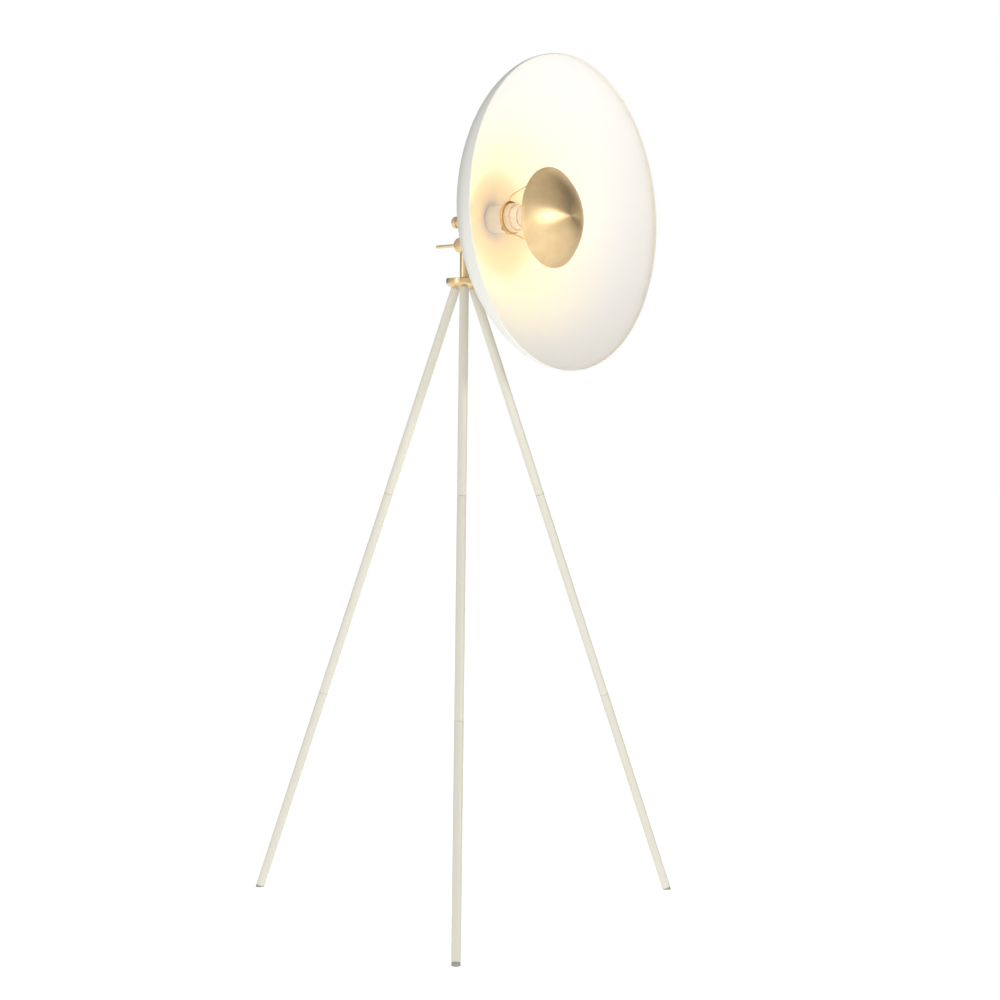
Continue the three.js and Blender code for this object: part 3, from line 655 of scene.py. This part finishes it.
clevis_low, clevis_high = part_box("clevis")
cheek_radius = clevis_high.z - pivot.z
cheek_half = (clevis_high.x - clevis_low.x) / 2
SLOT_HALF = 4 * MM
slot_floor = pivot.z - cheek_radius - 0.5 * MM
CLEVIS_FOOT = 6 * MM
clevis = rod("clevis_milled", upright, post_radius, slot_floor - CLEVIS_FOOT, pivot.z, 96)
cheeks = rod("cheeks", across_pivot, cheek_radius, -cheek_half, cheek_half)
spigot = rod("spigot", upright, POST_BORE - 0.3 * MM, clevis_low.z, slot_floor - 4 * MM, 48)
slot_cut = block("slot", Matrix.Translation(pivot), (2 * SLOT_HALF, 0.06, 0.06),
                 (0, 0, 0.03 - cheek_radius - 0.5 * MM))
bolt_hole = rod("bolt_hole", across_pivot, 3.3 * MM, -0.02, 0.02, 48)
wire_way = rod("wire_way", upright, 3 * MM, clevis_low.z - 0.01, slot_floor + 0.01, 48)
machined(clevis, builds=[cheeks, spigot], cuts=[slot_cut, bolt_hole, wire_way], edge=0.5 * MM)
stands_for(clevis, "clevis", plain_brass)

bolt_low, bolt_high, bolt_radius = reach("pivot_bolt", across_pivot)
BOLT_SHANK = 3 * MM
head_inner = cheek_half + 0.3 * MM
bolt = turned("pivot_bolt_turned", across_pivot, [
    (0, bolt_low),
    *eased([(BOLT_SHANK - 0.5 * MM, bolt_low), (BOLT_SHANK, bolt_low + 0.5 * MM),
            (BOLT_SHANK, head_inner), (bolt_radius, head_inner, 0.3 * MM),
            (bolt_radius, head_inner + 1.5 * MM)]),
    *bend((bolt_radius, head_inner + 1.5 * MM), (bolt_radius, bolt_high - 1.4 * MM),
          (0.6 * bolt_radius, bolt_high), (0, bolt_high), 10)[1:],
], 64)
key_way = hex_socket("key_way", across_pivot, 3 * MM, bolt_high - 2.4 * MM, bolt_high + 0.01)
stands_for(machined(bolt, cuts=[key_way], edge=0.15 * MM), "pivot_bolt", fine_brass)

knob_low, knob_high, knob_radius = reach("clamp_knob", across_pivot)
LEVER_DROOP = math.radians(1.5)
lever_middle = centre_of("clamp_lever")
lever_along = Vector((0, math.cos(LEVER_DROOP), -math.sin(LEVER_DROOP)))
lever_place = place(Vector((lever_middle.x, pivot.y, pivot.z)), lever_along, SIDEWAYS)
lever_low, lever_high, lever_radius = reach("clamp_lever", lever_place)
clamp_knob = turned("clamp_knob_turned", across_pivot, [
    *bend((0, knob_low), (0.62 * knob_radius, knob_low), (knob_radius, knob_low + 1.4 * MM),
          (knob_radius, knob_low + 4.2 * MM), 16),
    *eased([(knob_radius, knob_low + 4.3 * MM), (knob_radius, knob_high - 1.6 * MM, 0.5 * MM),
            (knob_radius - 1.6 * MM, knob_high, 0.5 * MM), (0, knob_high)])[1:],
], 96)
lever_hole = rod("lever_hole", lever_place, lever_radius + 0.15 * MM, lever_low - 0.2 * MM, 0.05, 48)
thread_hole = rod("thread_hole", across_pivot, BOLT_SHANK + 0.2 * MM, bolt_low - 0.3 * MM, 0, 48)
machined(clamp_knob, cuts=[lever_hole, thread_hole], edge=0.2 * MM)
stands_for(clamp_knob, "clamp_knob", fine_brass)
lever = turned("clamp_lever_turned", lever_place, eased([
    (0, lever_low),
    (lever_radius, lever_low, 0.3 * MM),
    (lever_radius, lever_high, 0.8 * MM),
    (0, lever_high),
]), 64)
stands_for(lever, "clamp_lever", fine_brass)

# ---------- head: arm, stem, knob ----------
stem_low, stem_high, stem_radius = reach("stem_tube", on_axis)
STEM_WALL = 1.2 * MM
axis_rise = (head_up.inverted() @ lamp_origin).z
EYE_HALF = 3 * MM
NECK_RADIUS = 6 * MM
neck_low = cheek_radius + 1.5 * MM
arm = rod("head_arm_milled", across_pivot, cheek_radius, -EYE_HALF, EYE_HALF)
web = block("web", head_up, (2 * EYE_HALF, 12 * MM, neck_low + 2 * MM),
            (0, 0, (neck_low + 2 * MM) / 2))
neck = rod("neck", head_up, NECK_RADIUS, neck_low, axis_rise - 2 * MM)
saddle = rod("saddle", on_axis, stem_radius + 0.1 * MM, stem_low - 0.05, stem_high + 0.05, 128)
bolt_hole = rod("bolt_hole", across_pivot, 3.3 * MM, -0.02, 0.02, 48)
machined(arm, builds=[web, neck], cuts=[saddle, bolt_hole], edge=0.4 * MM)
stands_for(arm, "head_arm", plain_brass)

for side in ("left", "right"):
    node = f"friction_washer_{side}"
    low, high, radius = reach(node, across_pivot)
    washer = turned(f"{node}_cut", across_pivot, eased([
        (3.3 * MM, low),
        (radius, low, 0.15 * MM),
        (radius, high, 0.15 * MM),
        (3.3 * MM, high),
    ], closed=True), 64, ring=True)
    stands_for(washer, node, nylon)

stem = turned("stem_tube_drawn", on_axis, eased([
    (stem_radius - STEM_WALL, stem_low, 0.2 * MM),
    (stem_radius, stem_low, 0.35 * MM),
    (stem_radius, stem_high, 0.35 * MM),
    (stem_radius - STEM_WALL, stem_high, 0.2 * MM),
], closed=True), 96, ring=True)
stands_for(stem, "stem_tube", fine_brass)

cap_low, cap_high, cap_radius = reach("stem_end_cap", on_axis)
CAP_BORE = 4.3 * MM
cap = turned("stem_end_cap_turned", on_axis, eased([
    (CAP_BORE, cap_low, 0.2 * MM),
    (cap_radius, cap_low, 0.7 * MM),
    (cap_radius, stem_low - 0.3 * MM, 0.3 * MM),
    (stem_radius - STEM_WALL - 0.3 * MM, stem_low - 0.3 * MM),
    (stem_radius - STEM_WALL - 0.3 * MM, cap_high, 0.3 * MM),
    (CAP_BORE, cap_high),
], closed=True), 96, ring=True)
stands_for(cap, "stem_end_cap", fine_brass)

back_low, back_high, back_radius = reach("switch_knob", on_axis)
spindle_low, _, spindle_radius = reach("switch_spindle", on_axis)
screw_low, screw_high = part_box("knob_grub_screw")
screw_spot = (screw_low + screw_high) / 2
screw_origin = lamp_origin + lamp_axis * (screw_spot - lamp_origin).dot(lamp_axis)
knob_screw_place = place(screw_origin, screw_spot - screw_origin, SIDEWAYS)
back_knob = turned("switch_knob_turned", on_axis, [
    *bend((0, back_low), (0.6 * back_radius, back_low), (back_radius, back_low + 1.8 * MM),
          (back_radius, back_low + 6 * MM), 16),
    *eased([(back_radius, back_low + 6.1 * MM), (back_radius, back_high, 0.7 * MM),
            (0, back_high)])[1:],
], 96)
neck_way = rod("neck_way", on_axis, CAP_BORE, back_high - 2.8 * MM, back_high + 0.01, 64)
spindle_way = rod("spindle_way", on_axis, spindle_radius + 0.2 * MM, spindle_low - 0.3 * MM,
                  back_high, 48)
screw_way = rod("screw_way", knob_screw_place, 1.7 * MM, 0, 0.02, 32)
machined(back_knob, cuts=[neck_way, spindle_way, screw_way], edge=0.2 * MM)
stands_for(back_knob, "switch_knob", fine_brass)
low, high, radius = reach("knob_grub_screw", knob_screw_place)
grub = rod("knob_grub_screw_socketed", knob_screw_place, radius, low, high, 48, 0.2 * MM)
key_way = hex_socket("key_way", knob_screw_place, 1.5 * MM, high - 1.2 * MM, high + 0.01)
stands_for(machined(grub, cuts=[key_way], edge=0), "knob_grub_screw", zinc)

# ---------- dish ----------
dish_low, dish_high, dish_radius = reach("dish_shade", on_axis)
dish_depth = dish_high - dish_low
DISH_WALL = 1.2 * MM
NIPPLE_HOLE = 5.3 * MM
HEM_RADIUS = 1.2 * MM
DISH_ROWS = 72
DISH_SEGMENTS = 192

outer = [
    (radius, height) for radius, height in bend(
        (0, dish_low),
        (0.3 * dish_radius, dish_low),
        (dish_radius, dish_low + 0.66 * dish_depth),
        (dish_radius, dish_high - HEM_RADIUS),
        DISH_ROWS,
    )
]


def dish_height(radius, outline):
    """Height of the dish's face at a distance from the axis."""
    for (r0, z0), (r1, z1) in zip(outline, outline[1:]):
        if r0 <= radius <= r1:
            return z0 + (z1 - z0) * (radius - r0) / (r1 - r0)
    return outline[-1][1]


inner = []
for before, here, after in zip(outer, outer[1:], outer[2:]):
    along = (Vector(after) - Vector(before)).normalized()
    inner.append((here[0] - along.y * DISH_WALL, here[1] + along.x * DISH_WALL))
hem_middle = (dish_radius - HEM_RADIUS, dish_high - HEM_RADIUS)
hem = []
for i in range(13):
    angle = math.radians(15 * i)
    hem.append((hem_middle[0] + HEM_RADIUS * math.cos(angle),
                hem_middle[1] + HEM_RADIUS * math.sin(angle)))
hem.append((hem_middle[0] - HEM_RADIUS, hem_middle[1] - 1.2 * MM))
hem.append((dish_radius - DISH_WALL - 0.3 * MM, hem_middle[1] - 2.0 * MM))
outer_face = [p for p in outer if p[0] > NIPPLE_HOLE + 0.5 * MM]
inner_face = [p for p in inner if p[0] > NIPPLE_HOLE + 0.5 * MM and p[1] < hem[-1][1] - 1 * MM]
dish_outline = [
    (NIPPLE_HOLE, dish_height(NIPPLE_HOLE, outer)),
    *outer_face[:-1],
    *hem,
    *reversed(inner_face),
    (NIPPLE_HOLE, dish_height(NIPPLE_HOLE, outer) + DISH_WALL),
]
dish = turned("dish_spun", on_axis, dish_outline, DISH_SEGMENTS, ring=True)
hem_start = len(outer_face)
hem_end = hem_start + len(hem)
stands_for(dish, "dish_shade", (pale, white, rim_enamel))
# The rows of the rolled rim take the third finish, the inside enamel with painted shade.
for face in dish.data.polygons:
    row = face.index // DISH_SEGMENTS
    face.material_index = 0 if row < hem_start else (2 if row < hem_end - 1 else 1)

cup_low, _, cup_radius = reach("back_cup", on_axis)
cup_bore = stem_radius + 0.2 * MM
cup_meets_dish = dish_height(cup_radius, outer)
cup = turned("back_cup_spun", on_axis, [
    (NIPPLE_HOLE, stem_high + 0.3 * MM),
    (cup_bore, stem_high + 0.3 * MM),
    *eased([(cup_bore, stem_high), (cup_bore, cup_low, 0.3 * MM),
            (cup_bore + 2 * MM, cup_low, 0.6 * MM),
            (cup_bore + 2.6 * MM, cup_low + 1.0 * MM)])[1:],
    *bend((cup_bore + 2.7 * MM, cup_low + 1.2 * MM), (cup_bore + 3.6 * MM, cup_low + 5.5 * MM),
          (cup_radius, cup_low + 6 * MM), (cup_radius, cup_meets_dish - 2.5 * MM), 12),
    (cup_radius, cup_meets_dish - 0.5 * MM),
    *[(radius, dish_height(radius, outer) - 0.3 * MM)
      for radius in (cup_radius - 0.4 * MM, 0.8 * cup_radius, 0.6 * cup_radius, 0.4 * cup_radius)],
    (NIPPLE_HOLE, dish_height(NIPPLE_HOLE, outer) - 0.3 * MM),
], 96, ring=True)
stands_for(cup, "back_cup", fine_brass)

# ---------- lampholder, shade ring and spider ----------
_, cover_high, cover_radius = reach("holder_cover", on_axis)
COVER_WALL = 1.2 * MM
foot_height = dish_height(cover_radius, outer) + DISH_WALL + 0.3 * MM
cover = turned("holder_cover_pressed", on_axis, eased([
    (NIPPLE_HOLE, dish_height(NIPPLE_HOLE, outer) + DISH_WALL + 0.2 * MM),
    (0.6 * cover_radius, dish_height(0.6 * cover_radius, outer) + DISH_WALL + 0.2 * MM),
    (cover_radius, foot_height, 1.2 * MM),
    (cover_radius, cover_high, 0.5 * MM),
    (cover_radius - COVER_WALL, cover_high, 0.3 * MM),
    (cover_radius - COVER_WALL, foot_height + COVER_WALL, 1 * MM),
    (0.6 * cover_radius, dish_height(0.6 * cover_radius, outer) + DISH_WALL + COVER_WALL),
    (NIPPLE_HOLE, dish_height(NIPPLE_HOLE, outer) + DISH_WALL + COVER_WALL),
], closed=True), 96, ring=True)
stands_for(cover, "holder_cover", white)

core_low, core_high, core_radius = reach("holder_core", on_axis)
CAVITY = 14 * MM
CAVITY_FLOOR = core_high - 27 * MM
core = turned("holder_core_glazed", on_axis, eased([
    (3.6 * MM, core_low + 4 * MM),
    (5.3 * MM, core_low + 4 * MM),
    (5.3 * MM, core_low),
    (core_radius, core_low, 0.6 * MM),
    (core_radius, core_high, 1.0 * MM),
    (core_radius - 2.2 * MM, core_high, 0.4 * MM),
    (core_radius - 2.8 * MM, core_high - 0.8 * MM, 0.3 * MM),
    (CAVITY + 1.2 * MM, core_high - 0.8 * MM, 0.5 * MM),
    (CAVITY, core_high - 2 * MM, 0.6 * MM),
    (CAVITY, CAVITY_FLOOR, 0.6 * MM),
    (3.6 * MM, CAVITY_FLOOR),
], closed=True), 96, ring=True)
stands_for(core, "holder_core", ceramic)

ring_low, ring_high, ring_radius = reach("shade_ring", on_axis)
SPIDER_TURN = 5
wire_angles = [math.radians(90 + SPIDER_TURN + 120 * n) for n in range(3)]
wire_places = [on_axis @ Matrix.Rotation(angle, 4, "Z") for angle in wire_angles]
shade_ring = turned("shade_ring_turned", on_axis, eased([
    (core_radius + 0.3 * MM, ring_low, 0.4 * MM),
    (ring_radius, ring_low, 0.7 * MM),
    (ring_radius, ring_high, 0.7 * MM),
    (core_radius + 0.3 * MM, ring_high, 0.6 * MM),
], closed=True), 96, ring=True)
WIRE_RADIUS = 1.0 * MM
wire_height = (ring_low + ring_high) / 2
wire_holes = [
    rod("wire_hole",
        where @ Matrix.Translation((0, 0, wire_height)) @ Matrix.Rotation(math.pi / 2, 4, "Y"),
        WIRE_RADIUS + 0.15 * MM, ring_radius - 3.2 * MM, ring_radius + 5 * MM, 24)
    for where in wire_places
]
machined(shade_ring, cuts=wire_holes, edge=0.15 * MM)
stands_for(shade_ring, "shade_ring", fine_brass)

lock_low, lock_high, lock_radius = reach("lock_ring", on_axis)
lock_ring = turned("lock_ring_turned", on_axis, eased([
    (core_radius + 0.3 * MM, lock_low, 0.3 * MM),
    (lock_radius, lock_low, 0.5 * MM),
    (lock_radius, lock_low + 3.4 * MM, 0.3 * MM),
    (lock_radius - 0.5 * MM, lock_low + 3.9 * MM, 0.2 * MM),
    (lock_radius - 0.5 * MM, lock_low + 4.7 * MM, 0.2 * MM),
    (lock_radius, lock_low + 5.2 * MM, 0.3 * MM),
    (lock_radius, lock_high - 2 * MM, 0.6 * MM),
    (lock_radius - 1.5 * MM, lock_high, 0.5 * MM),
    (core_radius + 0.3 * MM, lock_high, 0.4 * MM),
], closed=True), 96, ring=True)
stands_for(lock_ring, "lock_ring", nylon)

hang = on_axis.inverted() @ centre_of("inner_reflector")
reflector_place = on_axis @ Matrix.Translation((0, hang.y, 0))
reflector_low, reflector_high, reflector_radius = reach("inner_reflector", reflector_place)
reflector_depth = reflector_high - reflector_low
REFLECTOR_WALL = 1.0 * MM
ball = (reflector_radius ** 2 + reflector_depth ** 2) / (2 * reflector_depth)
ball_centre = reflector_high - ball
rim_angle = math.asin(reflector_radius / ball)

WIRE_BEND_OUT = 9 * MM
WIRE_BEND_FORWARD = 2 * MM
WIRE_SPREAD = 0.46
LUG_RADIUS = 3.2 * MM
LUG_HALF = 0.7 * MM
LUG_GAP = 0.9 * MM
wire_bend = Vector((ring_radius + WIRE_BEND_OUT, 0, ring_high + WIRE_BEND_FORWARD))
lug_ball = ball - REFLECTOR_WALL - LUG_HALF - LUG_GAP
lug = wire_bend.copy()
for _ in range(30):
    lug.z = ball_centre + math.sqrt(lug_ball ** 2 - lug.x ** 2)
    lug.x = wire_bend.x + WIRE_SPREAD * (lug.z - wire_bend.z)
for wire, (where, angle) in enumerate(zip(wire_places, wire_angles), 1):
    stop = lug + hang.y * Vector((math.sin(angle), math.cos(angle), 0))
    root = Vector((ring_radius - 3 * MM, 0, wire_height))
    knee = Vector((ring_radius + 2 * MM, 0, wire_height))
    before = wire_bend.lerp(knee, 0.5)
    after = wire_bend.lerp(stop, 0.05)
    path = [root, knee.lerp(root, 0.2)]
    for start, corner, end in ((knee.lerp(root, 0.15), knee, knee.lerp(before, 0.3)),
                               (before, wire_bend, after)):
        for i in range(9):
            t = i / 8
            path.append(start * (1 - t) ** 2 + corner * 2 * t * (1 - t) + end * t ** 2)
    path.append(stop)
    bent = drawn_wire(f"spider_wire_{wire}_bent", where, path, WIRE_RADIUS)
    lean = Matrix.Rotation(math.atan2(lug.x, lug.z - ball_centre), 4, "Y")
    lug_place = where @ Matrix.Translation(stop) @ lean
    foot = rod("foot", lug_place, LUG_RADIUS, -LUG_HALF, LUG_HALF, 32, 0.3 * MM)
    machined(bent, builds=[foot], edge=0)
    stands_for(bent, f"spider_wire_{wire}", plain_brass)

REFLECTOR_ROWS = 40
ROLL = 0.9 * MM
outside_cap = []
inside_cap = []
for i in range(REFLECTOR_ROWS + 1):
    angle = rim_angle * (1 - i / REFLECTOR_ROWS)
    outside_cap.append((ball * math.sin(angle), ball_centre + ball * math.cos(angle)))
    small = ball - REFLECTOR_WALL
    inside_cap.append((small * math.sin(angle), ball_centre + small * math.cos(angle)))
roll_middle = (reflector_radius - ROLL, reflector_low + ROLL)
roll = []
for i in range(11):
    angle = math.radians(-165 + 18 * i)
    roll.append((roll_middle[0] + ROLL * math.cos(angle), roll_middle[1] + ROLL * math.sin(angle)))
outside_cap[-1] = (0, outside_cap[-1][1])
inside_cap[-1] = (0, inside_cap[-1][1])
inside_cap = [p for p in inside_cap if p[1] > roll_middle[1] + ROLL + 0.3 * MM]
outside_cap = [p for p in outside_cap if p[1] > roll_middle[1] + ROLL + 0.3 * MM]
reflector = turned("inner_reflector_spun", reflector_place,
                   [*reversed(inside_cap), *roll, *outside_cap], 192)
stands_for(reflector, "inner_reflector", reflector_brass)

# ---------- bulb ----------
skirt_low, skirt_high, skirt_radius = reach("bulb_housing", on_axis)
dome_low, dome_high, dome_radius = reach("bulb_dome", on_axis)
SKIRT_WALL = 1.6 * MM
BULB_NECK = 19.5 * MM
skirt_outside = bend((BULB_NECK, skirt_low), (BULB_NECK + 1.4 * MM, skirt_low + 5 * MM),
                     (skirt_radius - 0.1 * MM, skirt_high - 7 * MM), (skirt_radius, skirt_high), 16)
skirt_inside = [(radius - SKIRT_WALL, max(height, skirt_low + SKIRT_WALL))
                for radius, height in skirt_outside]
housing = turned("bulb_housing_moulded", on_axis, [
    (0, skirt_low),
    *skirt_outside,
    *reversed(skirt_inside),
    (0, skirt_low + SKIRT_WALL),
], 96)
stands_for(housing, "bulb_housing", housing_plastic)


def dome_shell(shrink):
    points = []
    for i in range(25):
        angle = math.pi / 2 * i / 24
        points.append(((dome_radius - shrink) * math.cos(angle),
                       dome_low + (dome_high - dome_low - shrink) * math.sin(angle)))
    points[-1] = (0, points[-1][1])
    return points


dome = turned("bulb_dome_moulded", on_axis, [*reversed(dome_shell(SKIRT_WALL)), *dome_shell(0)], 96)
stands_for(dome, "bulb_dome", opal)

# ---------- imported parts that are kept, mostly hidden: each gets its finish ----------
KEPT = {
    zinc: ["leg_stud_a", "leg_stud_b", "leg_stud_c", "pan_spindle", "dish_nipple", "nipple_nut",
           "bulb_cap", "switch_spindle",
           *[f"leg_{leg}_coupler_{joint}" for leg in "abc" for joint in (1, 2)]],
    plain_brass: ["centre_contact", "side_contact"],
    nylon: ["rotary_switch"],
    housing_plastic: ["led_board"],
    brown_cover: ["live_lead"],
    blue_cover: ["neutral_lead"],
}
for finish, members in KEPT.items():
    for node in members:
        nodes[node].data.materials.clear()
        nodes[node].data.materials.append(finish)

# ---------- light ----------
floor_mesh = bpy.data.meshes.new("floor")
FLOOR_HALF = 30
floor_mesh.from_pydata(
    [(-FLOOR_HALF, -FLOOR_HALF, 0), (FLOOR_HALF, -FLOOR_HALF, 0),
     (FLOOR_HALF, FLOOR_HALF, 0), (-FLOOR_HALF, FLOOR_HALF, 0)],
    [], [(0, 1, 2, 3)],
)
floor = new_piece("floor", floor_mesh, Matrix.Translation((0, 0, -0.0002)))
floor_finish = Finish("pale_floor")
floor_mesh.materials.append(floor_finish.done(
    Base_Color=floor_finish.blend(floor_finish.grain(0.4, 2), (0.88, 0.88, 0.88), (0.90, 0.90, 0.90)),
    Roughness=0.8,
    Emission_Color=(1.0, 1.0, 1.0),
    Emission_Strength=0.62,
))

world = bpy.data.worlds.new("studio")
scene.world = world
world.use_nodes = True
world.node_tree.nodes.clear()
sky = world.node_tree.nodes.new("ShaderNodeBackground")
seen = world.node_tree.nodes.new("ShaderNodeBackground")
chosen = world.node_tree.nodes.new("ShaderNodeMixShader")
path_kind = world.node_tree.nodes.new("ShaderNodeLightPath")
world_out = world.node_tree.nodes.new("ShaderNodeOutputWorld")
sky.inputs["Color"].default_value = (1, 1, 1, 1)
SKY_DIM = 0.06
SKY_BRIGHT = 0.66
BRIGHT_SIDE = Vector((-0.8, -0.2, 0.56))
compass = world.node_tree.nodes.new("ShaderNodeTexCoord")
facing = world.node_tree.nodes.new("ShaderNodeVectorMath")
facing.operation = "DOT_PRODUCT"
facing.inputs[1].default_value = BRIGHT_SIDE
fading = world.node_tree.nodes.new("ShaderNodeMapRange")
fading.interpolation_type = "SMOOTHSTEP"
for socket, value in (("From Min", -0.6), ("From Max", 0.5),
                      ("To Min", SKY_DIM), ("To Max", SKY_BRIGHT)):
    fading.inputs[socket].default_value = value
world.node_tree.links.new(compass.outputs["Generated"], facing.inputs[0])
world.node_tree.links.new(facing.outputs["Value"], fading.inputs["Value"])
world.node_tree.links.new(fading.outputs["Result"], sky.inputs["Strength"])
seen.inputs["Color"].default_value = (1, 1, 1, 1)
seen.inputs["Strength"].default_value = 1.0
world.node_tree.links.new(path_kind.outputs["Is Camera Ray"], chosen.inputs[0])
world.node_tree.links.new(sky.outputs[0], chosen.inputs[1])
world.node_tree.links.new(seen.outputs[0], chosen.inputs[2])
world.node_tree.links.new(chosen.outputs[0], world_out.inputs[0])

head_middle = lamp_origin + lamp_axis * 0.2
FRONT_WATTS = 16.5
LEFT_WATTS = 11
softbox("front_box", head_middle + Vector((0.15, -2.4, 0.18)), head_middle,
        0.6, 0.6, FRONT_WATTS)
softbox("left_box", pivot + Vector((-3.0, 0.6, 0.2)), pivot - Vector((0, 0, 0.4)),
        1.2, 2.0, LEFT_WATTS)

bulb_lamp = bpy.data.lights.new("bulb_light", "POINT")
bulb_lamp.energy = 0.27
bulb_lamp.color = (1.0, 0.72, 0.04)
bulb_lamp.shadow_soft_size = 0.02
bulb_light = bpy.data.objects.new("bulb_light", bulb_lamp)
scene.collection.objects.link(bulb_light)
bulb_light.location = on_axis @ Vector((0, 0, (dome_high + reflector_high) / 2))
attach(bulb_light, "head")
